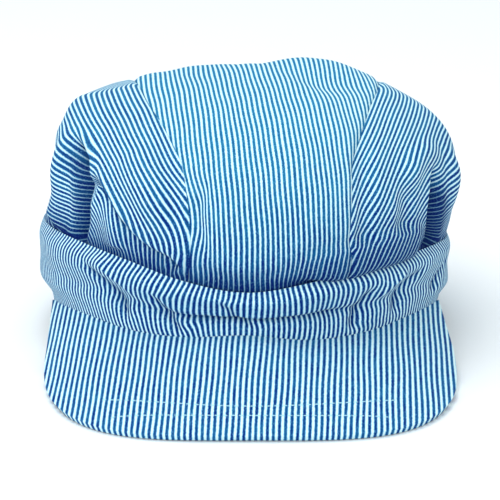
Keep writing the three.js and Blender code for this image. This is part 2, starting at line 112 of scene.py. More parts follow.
# Folds of the crown, each along a line of directions in degrees and heights as shares of the way up.
# depth: share of the fold depth, inward when negative. width: share of the fold width.
# rise, die: shares of the line over which the fold comes and goes.
# steep: how much narrower the fold is on the left of the line than on its right, as one walks along it
# outside, or the other way round when negative.
# lap: how far the cloth of the steep side hangs over, as a share of the fold width.
# part: how freely the stripes on its two sides run apart. shade: metres of painted shade beside it, darker
# cloth standing for the fold's shadow.
# bunch: millimetres of striped cloth that are hidden in it.
PLAIN_FOLD = dict(steep=0, lap=0, part=0, shade=0, bunch=0)
FOLDS = [PLAIN_FOLD | row for row in (
    # deep pleat and the full cloth behind it, left
    dict(depth=-1.45, width=0.95, steep=-0.55, lap=0.36, part=1, shade=0.0135, rise=0, die=0.25,
         angles=[-49, -47, -47, -52, -66], heights=[0, 0.1, 0.22, 0.3, 0.34]),
    dict(depth=0.5, width=1.35, rise=0.1, die=0.5,
         angles=[-68, -65, -66, -76], heights=[0.02, 0.12, 0.26, 0.4]),
    dict(depth=0.2, width=0.8, rise=0.1, die=0.4, angles=[-37, -37, -38], heights=[0.02, 0.1, 0.2]),
    # slanting fold from the pleat to the foot of the left seam
    dict(depth=-0.6, width=0.8, steep=0.5, lap=0.2, part=0.6, shade=0.0024, rise=0.15, die=0.1,
         angles=[-46, -40, -33, -26, -20, -17], heights=[0.25, 0.19, 0.115, 0.074, 0.064, 0.03]),
    dict(depth=0.3, width=1.1, rise=0.3, die=0.3, angles=[-36, -29, -21], heights=[0.38, 0.28, 0.17]),
    dict(depth=-0.22, width=0.7, rise=0.2, die=0.4,
         angles=[-17, -19, -26, -38], heights=[0.1, 0.28, 0.42, 0.52]),
    # deep pleat and the full cloth behind it, right
    dict(depth=-1.45, width=0.95, steep=0.55, lap=0.1, part=1, shade=0.0205, rise=0, die=0.3,
         angles=[60, 58, 59, 65], heights=[0, 0.08, 0.18, 0.27]),
    dict(depth=0.35, width=1.3, rise=0.5, die=0.5,
         angles=[77, 76, 78, 84], heights=[0.06, 0.14, 0.24, 0.34]),
    dict(depth=0.34, width=0.85, rise=0.3, die=0.4,
         angles=[46, 53, 62, 75], heights=[0.23, 0.28, 0.31, 0.33]),
    dict(depth=-0.26, width=0.9, rise=0.3, die=0.4, angles=[45, 46, 48], heights=[0.07, 0.16, 0.26]),
    dict(depth=-0.3, width=0.8, rise=0.1, die=0.4,
         angles=[31, 33, 38, 50], heights=[0.06, 0.25, 0.38, 0.48]),
    # cloth folded down over the band, right of the middle
    dict(depth=-0.4, width=0.6, steep=0.3, lap=0.1, rise=0.25, die=0.2,
         angles=[12, 23, 36, 48, 60], heights=[0.005, 0.008, 0.012, 0.014, 0.012]),
    dict(depth=0.55, width=0.75, steep=-0.4, lap=-0.5, rise=0.35, die=0.2,
         angles=[10, 22, 34, 46, 56], heights=[0.035, 0.042, 0.046, 0.046, 0.042]),
    dict(depth=-0.25, width=0.7, rise=0.3, die=0.3, angles=[-14, 0, 12], heights=[0.03, 0.03, 0.03]),
    # soft dents of the front and the top
    dict(depth=-0.35, width=0.9, bunch=2.6, rise=0.4, die=0.4,
         angles=[-8, -11, -9], heights=[0.08, 0.22, 0.36]),
    dict(depth=-0.2, width=2, rise=0.4, die=0.4, angles=[50, 80, 100], heights=[0.76, 0.72, 0.66]),
    dict(depth=0.42, width=3.6, rise=0.35, die=0.6,
         angles=[170, 140, 120, 106], heights=[0.78, 0.7, 0.58, 0.46]),
    dict(depth=0.06, width=3, rise=0.4, die=0.4, angles=[-172, -142, -112], heights=[0.8, 0.7, 0.6]),
    # full shoulder of the left side and slack of the right side
    dict(depth=0.3, width=1.3, rise=0.4, die=0.4, angles=[-58, -80, -104], heights=[0.45, 0.43, 0.43]),
    dict(depth=-0.1, width=1.6, rise=0.4, die=0.4, angles=[-74, -96, -120], heights=[0.57, 0.55, 0.57]),
    dict(depth=-0.26, width=1.6, rise=0.4, die=0.4, angles=[80, 96, 116], heights=[0.12, 0.12, 0.14]),
)]

# Gathers of the band: direction and half width in degrees, depth as a share of the band's bulge.
GATHERS = table(
    ("angle", "spread", "depth"),
    (-37, 7, -0.3),
    (-30, 6, 0.3),
    (-11, 5, -0.25),
    (6, 6, 0.3),
    (24, 6, -0.3),
    (40, 7, 0.35),
    (50, 5, -0.35),
    (88, 12, -0.5),
)

# Where the stripes of a side panel turn from the slant of the front to the level run of the side: height
# above the band and width of the turn in metres, direction in degrees.
TURNS = {
    "left": table(
        ("height", "angle", "width"),
        (0.0, -48.5, 0.003),
        (0.036, -48.5, 0.004),
        (0.043, -55, 0.008),
        (0.048, -72, 0.022),
        (0.053, -92, 0.045),
        (0.065, -110, 0.060),
        (0.110, -120, 0.070),
    ),
    "right": table(
        ("height", "angle", "width"),
        (0.0, 60, 0.003),
        (0.032, 60, 0.004),
        (0.040, 66, 0.008),
        (0.045, 78, 0.018),
        (0.050, 92, 0.040),
        (0.062, 108, 0.060),
        (0.110, 120, 0.070),
    ),
}

# Stripes on the front of the side panels, as the photograph shows them: how far across and up the picture
# each step from stripe to stripe goes, how much finer they are than the crown's pitch, how much they sink
# towards the back of the cap, and how many metres of them curl into the pleat.
SLANTS = {
    "left": dict(lean=0.87, climb=0.5, finer=1.0, fall=0.3, curl=0.009),
    "right": dict(lean=0.91, climb=0.41, finer=1.17, fall=0.1, curl=0.004),
}

# Upper edge of the corner under the slanting fold of the left panel, where the stripes stand nearly upright:
# direction in degrees, height above the band in metres.
CORNER = table(
    ("angle", "height"),
    (-50, 0.044),
    (-46, 0.038),
    (-43, 0.033),
    (-36, 0.0215),
    (-32, 0.016),
    (-26, 0.0108),
    (-19.5, 0.0095),
    (-17, 0.005),
    (-15, 0),
)

# Small folds of the band: depth as a share of the band's bulge, inward when negative, half width in metres,
# how many millimetres of striped cloth are hidden in it, and the line in degrees and shares of its height.
BAND_FOLDS = [
    dict(depth=-0.55, width=0.005, bunch=1.5, angles=[-50, -43, -37, -34], heights=[0.85, 0.6, 0.35, 0.1]),
    dict(depth=0.4, width=0.006, bunch=0, angles=[-44, -37, -31], heights=[0.95, 0.7, 0.5]),
    dict(depth=-0.5, width=0.0045, bunch=1.6, angles=[-27, -24, -20, -17], heights=[0.7, 0.5, 0.25, 0.05]),
    dict(depth=-0.4, width=0.005, bunch=1.2, angles=[-8, -3, 4], heights=[0.85, 0.5, 0.15]),
    dict(depth=-0.55, width=0.005, bunch=1.7, angles=[36, 34, 31, 31], heights=[0.8, 0.5, 0.25, 0.05]),
    dict(depth=-0.5, width=0.006, bunch=1.5, angles=[58, 51, 47, 46], heights=[0.8, 0.6, 0.35, 0.1]),
    dict(depth=0.45, width=0.006, bunch=0, angles=[48, 43, 38], heights=[0.85, 0.7, 0.45]),
    dict(depth=-0.5, width=0.006, bunch=1.2, angles=[80, 70, 64], heights=[0.75, 0.5, 0.2]),
]

# Columns of a side panel's grid: share of them, and how far round from the front they have come.
SIDE_SPACING = table(
    ("columns", "along"),
    (0, 0),
    (0.15, 0.07),
    (0.62, 0.36),
    (1, 1),
)


def metres(**about):
    """A length of the cap."""
    return bpy.props.FloatProperty(subtype="DISTANCE", unit="LENGTH", **about)


def rgb(**about):
    """A colour of the cap or the stage."""
    return bpy.props.FloatVectorProperty(subtype="COLOR", min=0, max=1, **about)


class CapShapeProperties(bpy.types.PropertyGroup):
    opening_half_width: metres(
        name="Opening Half Width", description="From the opening's middle to the band, side to side",
        default=0.0925)
    opening_half_length: metres(
        name="Opening Half Length", description="From the opening's middle to the band, front to back",
        default=0.095)
    opening_shift: metres(
        name="Opening Shift", description="How far the opening sits to the right of the bill's middle",
        default=-0.002)
    front_lift: metres(
        name="Front Lift", description="Height of the band's lower edge above the floor at the front",
        default=0.027)
    resting_share: bpy.props.FloatProperty(
        name="Resting Share", description="Share of the half length behind which the band lies on the floor",
        default=0.79)
    band_height: metres(name="Band Height", description="Full height of the band", default=0.038)
    band_bulge: metres(
        name="Band Bulge", description="How far the crumpled band stands in and out", default=0.0042)
    crease_depth: metres(
        name="Crease Depth", description="Depth of the crease across the front of the band", default=0.002)
    band_top_out: metres(
        name="Band Flare", description="How much wider the band is at its top", default=0.002)
    crown_top: metres(
        name="Crown Top", description="Height of the crown's middle above the floor", default=0.1215)
    top_tilt: bpy.props.FloatProperty(
        name="Top Tilt", description="Rise of the top from left to right, as a slope", default=0.045)
    back_slump: bpy.props.FloatProperty(
        name="Back Slump", description="How much the back of the top sinks, as a share", default=0.05)
    fold_depth: metres(
        name="Fold Depth", description="Depth of the deepest folds of the crown", default=0.010)
    fold_width: metres(
        name="Fold Width", description="Half width of the main folds of the crown", default=0.010)
    band_fade: bpy.props.FloatProperty(
        name="Band Fade", description="Share of the crown above the band that keeps clear of folds",
        default=0.012)
    bill_length: metres(
        name="Bill Length", description="How far the bill reaches beyond the band", default=0.056)
    bill_flare: metres(
        name="Bill Flare", description="How much wider the bill is than the opening, each side",
        default=0.0004)
    bill_swell: metres(
        name="Bill Swell", description="Height of the bill's curve across its length", default=0.0026)
    drag: metres(
        name="Drag", description="How far the stripes are dragged sideways above the band, on the right",
        default=0.010)
    seam_dip: metres(name="Seam Dip", description="How far the cloth turns in at a seam", default=0.0011)
    tuck: metres(
        name="Tuck", description="How far the crown's lower edge is sewn in behind the band",
        default=0.0012)
    rumple: metres(name="Rumple", description="Depth of the small soft wrinkles all over", default=0.0005)


class CapClothProperties(bpy.types.PropertyGroup):
    crown_cloth: metres(name="Crown Cloth", description="Thickness of the crown's cloth", default=0.0012)
    band_cloth: metres(name="Band Cloth", description="Thickness of the folded band", default=0.0022)
    bill_cloth: metres(name="Bill Thickness", description="Thickness of the covered bill", default=0.003)
    crown_pitch: metres(
        name="Crown Stripe Pitch", description="Distance between stripes on the crown", default=0.0023)
    bill_pitch: metres(
        name="Bill Stripe Pitch", description="Distance between stripes on the bill", default=0.00249)
    blue: rgb(name="Blue Yarn", description="Colour of the dyed stripes", default=(0.0002, 0.011, 0.165))
    # the faded yarn is also the colour that the painted light brings to the top of the crown
    teal: rgb(
        name="Faded Yarn", description="Colour of the dyed stripes where they took less dye",
        default=(0.012, 0.155, 0.32))
    azure: rgb(
        name="Stripe Edge", description="Colour of the lighter yarns along the edges of the dyed stripes",
        default=(0.15, 0.49, 0.77))
    white: rgb(name="White Yarn", description="Colour of the undyed stripes", default=(0.70, 0.92, 0.94))
    # Fold Shade scales the painted shade of the folds, the crease and the band's shadow
    fold_shade: bpy.props.FloatProperty(
        name="Fold Shade", description="How much darker the cloth is deep in its folds", default=0.7,
        subtype="FACTOR", min=0, max=1)
    thread: rgb(name="Thread", description="Colour of the sewing thread", default=(0.42, 0.74, 0.86))
    stitch_row_inner: metres(
        name="Inner Stitching", description="From the opening's middle to the inner row on the bill",
        default=0.1372)
    stitch_row_outer: metres(
        name="Outer Stitching", description="From the opening's middle to the outer row on the bill",
        default=0.1417)
    stitch_length: metres(
        name="Stitch Length", description="Length of one stitch with its gap", default=0.0034)
    thread_width: metres(name="Thread Width", description="Thickness of the sewing thread", default=0.0005)


class CapStageProperties(bpy.types.PropertyGroup):
    camera_distance: metres(
        name="Camera Distance", description="From the opening's middle to the camera", default=1.0)
    camera_elevation: bpy.props.FloatProperty(
        name="Camera Elevation", description="Height of the camera as an angle above the floor",
        default=math.radians(20), subtype="ANGLE", unit="ROTATION")
    camera_aim: bpy.props.FloatProperty(
        name="Camera Aim", description="How far above the opening's middle the camera looks, as an angle",
        default=math.radians(1.92), subtype="ANGLE", unit="ROTATION")
    camera_lens: bpy.props.FloatProperty(
        name="Camera Lens", description="Focal length in millimetres", default=147.96)
    key_power: bpy.props.FloatProperty(
        name="Key Light", description="Strength of the large light above", default=6.0,
        subtype="POWER", unit="POWER")
    fill_power: bpy.props.FloatProperty(
        name="Fill Light", description="Strength of the soft light from the front left", default=4.0,
        subtype="POWER", unit="POWER")
    floor_colour: rgb(name="Floor", description="Colour of the floor", default=(0.9, 0.91, 0.92))


# Curves and small maths


def smooth_curve(places, values, period=0.0):
    """A smooth curve through table values, as a function of an array of places."""
    xs, ys = np.asarray(places, dtype=float), np.asarray(values, dtype=float)
    start = xs[0]
    if period:
        xs = np.concatenate([[xs[-1] - period], xs, [xs[0] + period, xs[1] + period]])
        ys = np.concatenate([[ys[-1]], ys, [ys[0], ys[1]]])
    steps = np.diff(xs)
    rises = np.diff(ys) / steps
    slopes = np.empty_like(ys)
    slopes[0], slopes[-1] = rises[0], rises[-1]
    slopes[1:-1] = (rises[:-1] * steps[1:] + rises[1:] * steps[:-1]) / (steps[:-1] + steps[1:])

    def at(where):
        x = np.asarray(where, dtype=float)
        if period:
            x = (x - start) % period + start
        i = np.clip(np.searchsorted(xs, x, side="right") - 1, 0, len(steps) - 1)
        t = np.clip((x - xs[i]) / steps[i], 0, 1)
        square, cube = t * t, t * t * t
        return (
            (2 * cube - 3 * square + 1) * ys[i]
            + (cube - 2 * square + t) * steps[i] * slopes[i]
            + (3 * square - 2 * cube) * ys[i + 1]
            + (cube - square) * steps[i] * slopes[i + 1]
        )

    return at


def table_curve(rows, place, name, period=0.0):
    """The smooth curve of one column of a table over another."""
    return smooth_curve([row[place] for row in rows], [row[name] for row in rows], period)


def ease(t):
    """From 0 to 1, starting and ending softly."""
    t = np.clip(t, 0, 1)
    return t * t * (3 - 2 * t)


def stretch(angle, start, rise, end, fall):
    """1 between two directions, rising after the first and falling before the second over so many degrees."""
    return ease((angle - start) / rise) * ease((end - angle) / fall)


def mix(a, b, t):
    return a + (b - a) * t


def hill(distance, reach, power=2):
    """1 at no distance, falling softly to nothing beyond the reach."""
    return np.exp(-((distance / reach) ** power))


def unit(vectors):
    return vectors / np.maximum(np.linalg.norm(vectors, axis=-1, keepdims=True), 1e-12)


def running(steps, axis=0):
    """Length from the first place to each place, from the steps between them."""
    return np.insert(np.cumsum(steps, axis), 0, 0, axis)


around_curve = {
    name: table_curve(AROUND, "angle", name, 360.0)
    for name in ("lift", "band", "side", "reach", "level", "shoulder")
}
band_curve = {name: table_curve(BAND_PROFILE, "height", name) for name in ("front", "side")}
seam_curve = {name: table_curve(SEAMS, "way", name) for name in ("left", "right")}
side_along = table_curve(SIDE_SPACING, "columns", "along")

# Steps of a profile of the crown, on each half, and of the line of a fold.
PROFILE_STEPS = 40
FOLD_STEPS = 20
# How softly the band's lower edge comes down to the floor, as a share.
RESTING_BLEND = 0.04
# The bill: direction of its ends in degrees, its widest place and the place from which its edge rises as
# shares of its reach, how square its outline is, and lengths in metres.
BILL_END_ANGLE = 77.0
BILL_WIDEST_SHARE = 0.41
BILL_FLOOR_SHARE = 0.675
BILL_FRONT_POWER = 2.8
BILL_FRONT_POWER_LEFT = 2.45
BILL_SIDE_POWER = 3.6
BILL_ROOT_RISE = 0.001
BILL_END_WIDTH = 0.0012
# Joins: half the gap between two pieces and how far a seam turns the cloth in, in metres, how far the tuck
# reaches up the crown, as a share, and where the side panels meet on the seam's way to the back.
JOIN_GAP = 0.0002
SEAM_REACH = 0.0028
TUCK_REACH = 0.012
SIDE_SPLIT = 0.6
# Pleats, in metres: the height up to which they part the stripes, the width of the break, and the shade on
# the side that lies open.
PLEAT_TOP = 0.044
PLEAT_CUT = 0.0018
NARROW_SHADE = 0.002
# Stripes: how much finer they are in the corner and on the level side, how firmly they keep to their slant
# on the front, and the depth of their waves in metres.
CORNER_FINENESS = 1.8
LEVEL_FINENESS = 1.15
FRONT_HOLD = 15
WOBBLE = 0.00014
# Upwards in the picture, as a way back and a way up, because the camera looks down by 20 degrees.
PICTURE_BACK, PICTURE_UP = 0.342, 0.94
# Columns and rows of the grids.
CENTRE_GRID = (120, 190)
SIDE_GRID = (320, 110)
BAND_GRID = (460, 40)
BILL_GRID = (170, 60)
# Share of the cloth that is dyed and how faded the dye is, low on the cap and high up. On the crown the fade
# rising towards the top is painted light, paler where the top catches more light, and the less faded dye of
# the side panels is painted shade.
CENTRE_DYE_AND_LIGHT = dict(share_low=0.69, share_high=0.53, fade_and_light_low=-0.45, fade_and_light_high=0.75)
SIDE_DYE_AND_LIGHT = dict(share_low=0.67, share_high=0.57, fade_and_light_low=-0.5, fade_and_light_high=0.32)
BAND_DYE = dict(share_low=0.595, share_high=0.595, fade_and_light_low=-0.25, fade_and_light_high=-0.25)
BILL_DYE = dict(share_low=0.55, share_high=0.55, fade_and_light_low=0.02, fade_and_light_high=0.02)
# Heights in metres between which the cloth of the crown goes from low to high.
FADE_FROM, FADE_TO = 0.03, 0.115
# Painted shade of the folds: the share of it by which the dyed stripes widen there, and the colour deep in a
# fold as a share of the dye's.
FOLD_SHADE_WIDENING = 0.35
FOLD_DARKNESS = 0.4
# Where a stitch starts and ends, as shares of its length with the gap.
STITCH_ENDS = (0.12, 0.82)


# The cap's surfaces, in metres from the middle of the opening on the floor


def shape():
    return bpy.context.scene.cap_shape


def cloth():
    return bpy.context.scene.cap_cloth


def rim_points(angle):
    """Lower edge of the band: an oval that lies on the floor at the back."""
    s = shape()
    turn = np.radians(angle)
    x = s.opening_shift + s.opening_half_width * np.sin(turn)
    y = -s.opening_half_length * np.cos(turn)
    rise = (s.resting_share * s.opening_half_length - y) / ((1 + s.resting_share) * s.opening_half_length)
    tilt = (rise + np.sqrt(rise * rise + RESTING_BLEND**2)) / 2
    return np.stack([x, y, s.front_lift * (tilt + around_curve["lift"](angle) * np.maximum(0, rise))], -1)


def outwards(angle):
    s = shape()
    turn = np.radians(angle)
    return unit(
        np.stack([np.sin(turn) / s.opening_half_width, -np.cos(turn) / s.opening_half_length, 0 * turn], -1)
    )


def band_points(angle, height):
    s = shape()
    crumple = sum(g["depth"] * hill(angle - g["angle"], g["spread"]) for g in GATHERS)
    stand = mix(band_curve["front"](height), band_curve["side"](height), around_curve["side"](angle))
    out = s.band_bulge * (stand + crumple * np.sin(np.pi * height) ** 2) + s.band_top_out * height
    points = rim_points(angle) + outwards(angle) * out[..., None]
    points[..., 2] += height * s.band_height * around_curve["band"](angle)
    return points


def crushed_band_points(angle, height):
    """The band with its crease: the upper half sags over the lower half across the front. Painted shade
    darkens the crease and the band's small folds.
    """
    s = shape()
    points = band_points(angle, height)
    front = hill(angle - 3, 29, 4)
    line = 0.43 + 0.03 * np.sin(np.radians(angle * 5))
    crease = -0.8 * s.crease_depth * hill(height - line + 0.03, 0.06)
    crease = crease + 0.5 * s.crease_depth * hill(height - line - 0.12, 0.09)
    sag = 0.8 * s.crease_depth * hill(height - line - 0.07, 0.08)
    points = points + outwards(angle) * (front * crease)[:, None]
    points[:, 2] -= front * sag
    hidden = np.zeros(len(angle))
    # painted shade in the crease across the front, and below in the band's small folds
    crease_shade = 0.6 * front * hill(height - line + 0.02, 0.035)
    flat = np.stack([np.radians(angle) * s.opening_half_length, height * s.band_height], -1)
    for fold in BAND_FOLDS:
        turn = np.radians(np.array(fold["angles"])) * s.opening_half_length
        line = np.stack([turn, np.array(fold["heights"]) * s.band_height], -1)
        distance, along, ahead = nearest_on(line, flat)
        across = flat - segment_start(line, along)
        on_left = ahead[:, 0] * across[:, 1] - ahead[:, 1] * across[:, 0] > 0
        strength = ease(along / 0.25) * ease((1 - along) / 0.25)
        away = np.minimum(distance / fold["width"], 1)
        depth = fold["depth"] * s.band_bulge * (1 - away) ** 1.6 * strength
        points = points + outwards(angle) * depth[:, None]
        hidden += fold["bunch"] * strength * hidden_share(distance, on_left, 0.004, 0.016) / 1000
        crease_shade = np.maximum(crease_shade, 0.6 * ease((-fold["depth"] * (1 - away) ** 1.6 * strength - 0.1) / 0.5))
    return points, hidden, crease_shade


def crown_profiles(angle):
    """Profile of the crown in each direction: radius, height and length from the band to the middle."""
    s, c = shape(), cloth()
    foot = band_points(angle, np.ones_like(angle)) - outwards(angle) * (c.band_cloth - c.crown_cloth) / 2
    side, front = np.sin(np.radians(angle)), np.cos(np.radians(angle))
    foot_radius = np.hypot(foot[:, 0] - s.opening_shift, foot[:, 1])[:, None]
    foot_height = (foot[:, 2] + JOIN_GAP)[:, None]
    oval = np.hypot(side / s.opening_half_width, front / s.opening_half_length)
    reach = (around_curve["reach"](angle) / oval)[:, None]
    level = mix(foot_height, s.crown_top, around_curve["level"](angle)[:, None])
    power = around_curve["shoulder"](angle)[:, None]
    t = np.linspace(0, 1, PROFILE_STEPS + 1)[None, :]
    lower_radius = mix(foot_radius, reach, 1 - (1 - t) ** 2)
    lower_height = mix(foot_height, level, t)
    turn = np.linspace(0, np.pi / 2, 2 * PROFILE_STEPS + 1)[None, 1:]
    upper_radius = reach * np.maximum(np.cos(turn), 0) ** (2 / power)
    rise = np.maximum(1 - (upper_radius / reach) ** power, 0) ** (1 / power)
    back = np.maximum(0, -upper_radius * front[:, None])
    top = s.crown_top + s.top_tilt * (s.opening_shift + upper_radius * side[:, None])
    top = top - s.back_slump * back * back / s.opening_half_length
    radius = np.concatenate([lower_radius, upper_radius], 1)
    height = np.concatenate([lower_height, mix(level, top, rise)], 1)
    steps = np.hypot(np.diff(radius, axis=1), np.diff(height, axis=1))
    return radius, height, running(steps, 1)


def on_disc(disc):
    """Directions of places in the disc, in degrees, and how far in from its edge they are."""
    return np.degrees(np.arctan2(disc[:, 0], -disc[:, 1])), 1 - np.hypot(disc[:, 0], disc[:, 1])


def crown_base(disc):
    """Points of the smooth crown. disc holds places in a unit disc, its edge on the band, -y to the front."""
    s = shape()
    angle, inward = on_disc(disc)
    radius, height, length = crown_profiles(angle)
    along = inward * length[:, -1]
    i = np.clip((length < along[:, None]).sum(1) - 1, 0, length.shape[1] - 2)
    row = np.arange(len(i))
    span = np.maximum(length[row, i + 1] - length[row, i], 1e-9)
    t = (along - length[row, i]) / span
    r = mix(radius[row, i], radius[row, i + 1], t)
    z = mix(height[row, i], height[row, i + 1], t)
    turn = np.radians(angle)
    return np.stack([s.opening_shift + r * np.sin(turn), -r * np.cos(turn), z], -1)


def normals_of(surface, disc, step=0.004):
    right, back = np.array([step, 0.0]), np.array([0.0, step])
    along = surface(disc + right) - surface(disc - right)
    across = surface(disc + back) - surface(disc - back)
    return unit(np.cross(along, across))


def fold_lines():
    lines = []
    for fold in FOLDS:
        places = np.linspace(0, 1, len(fold["angles"]))
        t = np.linspace(0, 1, FOLD_STEPS + 1)
        turn = np.radians(smooth_curve(places, fold["angles"])(t))
        spread = 1 - smooth_curve(places, fold["heights"])(t)
        lines.append(crown_base(np.stack([spread * np.sin(turn), -spread * np.cos(turn)], -1)))
    return lines


def nearest_on(line, points):
    """Distance to a line of points, how far along it the nearest place is, and the line's direction there."""
    best = np.full(len(points), np.inf)
    share = np.zeros(len(points))
    ahead = np.zeros_like(points)
    for i in range(len(line) - 1):
        step = line[i + 1] - line[i]
        offset = points - line[i]
        t = np.clip(offset @ step / (step @ step), 0, 1)
        distance = np.linalg.norm(offset - t[:, None] * step, axis=1)
        nearer = distance < best
        best[nearer] = distance[nearer]
        share[nearer] = (i + t[nearer]) / (len(line) - 1)
        ahead[nearer] = step
    return best, share, unit(ahead)


def segment_start(line, along):
    """The point of the line at which the piece of it around a share of the way starts."""
    return line[np.minimum((along * (len(line) - 1)).astype(int), len(line) - 2)]


def hidden_share(distance, on_left, turn, reach):
    """Share of a fold's hidden cloth that shifts the stripes to its left: it comes within the turn at the
    line and goes over the reach."""
    signed = np.where(on_left, distance, -distance)
    return ease(0.5 + signed / turn) * hill(np.maximum(signed, 0), reach)


def fold_places(fold, line, points, normals):
    """For one fold: distance to its line, which side, how strong it is there, and the way to its left."""
    distance, along, ahead = nearest_on(line, points)
    strength = np.ones(len(points))
    if fold["rise"]:
        strength = strength * ease(along / fold["rise"])
    if fold["die"]:
        strength = strength * ease((1 - along) / fold["die"])
    leftwards = unit(np.cross(normals, ahead))
    on_left = np.einsum("ij,ij->i", points - segment_start(line, along), leftwards) > 0
    return distance, on_left, strength, leftwards


def fold_shifts(points, normals, lines):
    """How the folds move the smooth crown: in and out, and over their own valleys."""
    s = shape()
    total = np.zeros_like(points)
    for fold, line in zip(FOLDS, lines):
        distance, on_left, strength, leftwards = fold_places(fold, line, points, normals)
        width = fold["width"] * s.fold_width
        wide = width * np.where(on_left, 1 - fold["steep"], 1 + fold["steep"])
        away = np.minimum(distance / wide, 1)
        sharp = (1 - away) ** 1.7 if fold["lap"] > 0 else (1 - away * away) ** 2
        total += normals * (fold["depth"] * s.fold_depth * sharp * strength)[:, None]
        if fold["lap"]:
            towards = -np.sign(fold["steep"])
            signed = np.where(on_left, distance, -distance) * towards
            lip = width * (1 - abs(fold["steep"]))
            over = hill(signed + 0.55 * lip, 0.6 * lip)
            under = hill(signed - 0.7 * lip, 0.6 * lip)
            move = fold["lap"] * s.fold_width * (over - 0.6 * under) * strength * towards
            total += leftwards * move[:, None]
    return total


def bunching(points, normals, lines):
    """How far the stripes shift, in metres, for the cloth that the folds hide."""
    total = np.zeros(len(points))
    for fold, line in zip(FOLDS, lines):
        if fold["bunch"]:
            distance, on_left, strength, _ = fold_places(fold, line, points, normals)
            total += fold["bunch"] * strength * hidden_share(distance, on_left, 0.005, 0.02) / 1000
    return total


def rumples(points, depth):
    """Small soft wrinkles, from a few crossed waves."""
    x, y, z = points[:, 0], points[:, 1], points[:, 2]
    wave = np.sin(160 * x + 60 * z + 2 * np.sin(90 * y))
    wave += np.sin(110 * z - 70 * y + 1.5 * np.sin(120 * x + 1))
    wave += 0.6 * np.sin(260 * x - 190 * z + 130 * y + 2) + 0.5 * np.sin(310 * z + 240 * x + 90 * y)
    return depth * wave / 2


def crown_points(disc, base, normals, lines, seam_distance):
    """Points of the folded crown, turned in at its seams and tucked behind the band's upper edge."""
    s = shape()
    inward = on_disc(disc)[1]
    free = ease(inward / s.band_fade)[:, None]
    shift = fold_shifts(base, normals, lines)
    dip = rumples(base, s.rumple) - s.seam_dip * (1 - ease(seam_distance / SEAM_REACH))
    points = base + (shift + normals * dip[:, None]) * free
    points[:, 2] -= s.tuck * (1 - ease(inward / TUCK_REACH))
    return points


def fold_shade_mask(disc, base, points, normals, lines):
    """Painted shade: how deep each point lies in a fold or behind the band, from 0 on the smooth cloth to 1
    in a pleat, by which the cloth is darkened there.
    """
    angle, height = crown_height(disc)
    inward = np.einsum("ij,ij->i", base - points, normals)
    gathered = stretch(angle, start=2, rise=16, end=70, fall=16)
    # painted shadow of the band's upper edge on the foot of the crown, stronger right of the middle where the
    # cloth folds down over the band
    band_shadow = 0.45 * hill(height, 0.011 + 0.003 * gathered)
    band_shadow = (band_shadow + 0.4 * hill(height, 0.0035)) * (1 + 0.4 * gathered)
    painted_shade = np.maximum(ease((inward - 0.0025) / 0.007), band_shadow * ease((100 - np.abs(angle)) / 40))
    # painted shade beside the pleats and folds that have a shade reach, widest on their wide side
    for fold, line in zip(FOLDS, lines):
        if fold["shade"]:
            distance, on_left, strength, _ = fold_places(fold, line, base, normals)
            reach = np.where(on_left == (fold["steep"] < 0), fold["shade"], NARROW_SHADE)
            painted_shade = np.maximum(painted_shade, strength * hill(distance, reach, 4))
    return painted_shade


# Mesh building


def place_in_frame():
    """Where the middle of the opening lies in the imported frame."""
    s = shape()
    bill_low, bill_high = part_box("bill")
    x = bill_high[0] - (s.opening_half_width + s.bill_flare)
    y = bill_low[1] + s.opening_half_length + s.bill_length
    return np.array([x, y, 0.0])


def put(name, data):
    """A new object in the scene."""
    made = bpy.data.objects.new(name, data)
    bpy.context.collection.objects.link(made)
    return made


def put_mesh(name, bm):
    mesh = bpy.data.meshes.new(name)
    bm.to_mesh(mesh)
    bm.free()
    return put(name, mesh)


def grid_object(name, columns, rows, make, thickness, bevel=0.0, ring=False):
    """A cloth sheet from a grid, moved into shape and given its own map of the stripes, then thickened."""
    bm = bmesh.new()
    bmesh.ops.create_grid(bm, x_segments=columns, y_segments=rows, size=1.0)
    bm.verts.index_update()
    flat = np.array([vert.co[:2] for vert in bm.verts]) / 2 + 0.5
    points, stripes, shade_depths = make(flat[:, 0], flat[:, 1])
    points = points + place_in_frame()
    layer = bm.loops.layers.uv.new("cloth")
    # fold_depth holds each point's painted shade: from the folds, the band's shadow on the crown and the
    # band's crease
    shade_layer = bm.verts.layers.float.new("fold_depth")
    for face in bm.faces:
        face.smooth = True
        for loop in face.loops:
            loop[layer].uv = stripes[loop.vert.index]
    for vert, point, depth in zip(bm.verts, points, shade_depths):
        vert.co = point
        vert[shade_layer] = depth
    if ring:
        bmesh.ops.remove_doubles(bm, verts=bm.verts, dist=1e-6)
    piece = put_mesh(name, bm)
    solid = piece.modifiers.new("Cloth", "SOLIDIFY")
    solid.thickness = thickness
    solid.offset = -1.0
    if bevel:
        soft = piece.modifiers.new("Edge", "BEVEL")
        soft.width = bevel
        soft.segments = 3
        soft.limit_method = "ANGLE"
        soft.angle_limit = math.radians(60)
        soft.harden_normals = False
    return piece


def seat(piece, node, material):
    piece.data.materials.append(material)
    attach(piece, "root")
    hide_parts(node)


def disc_place(x, way):
    return np.stack([x, way * np.sqrt(1 - x * x)], -1)


def centre_disc(across, along):
    way = 2 * along - 1
    return disc_place(mix(seam_curve["left"](way), seam_curve["right"](way), across), way)


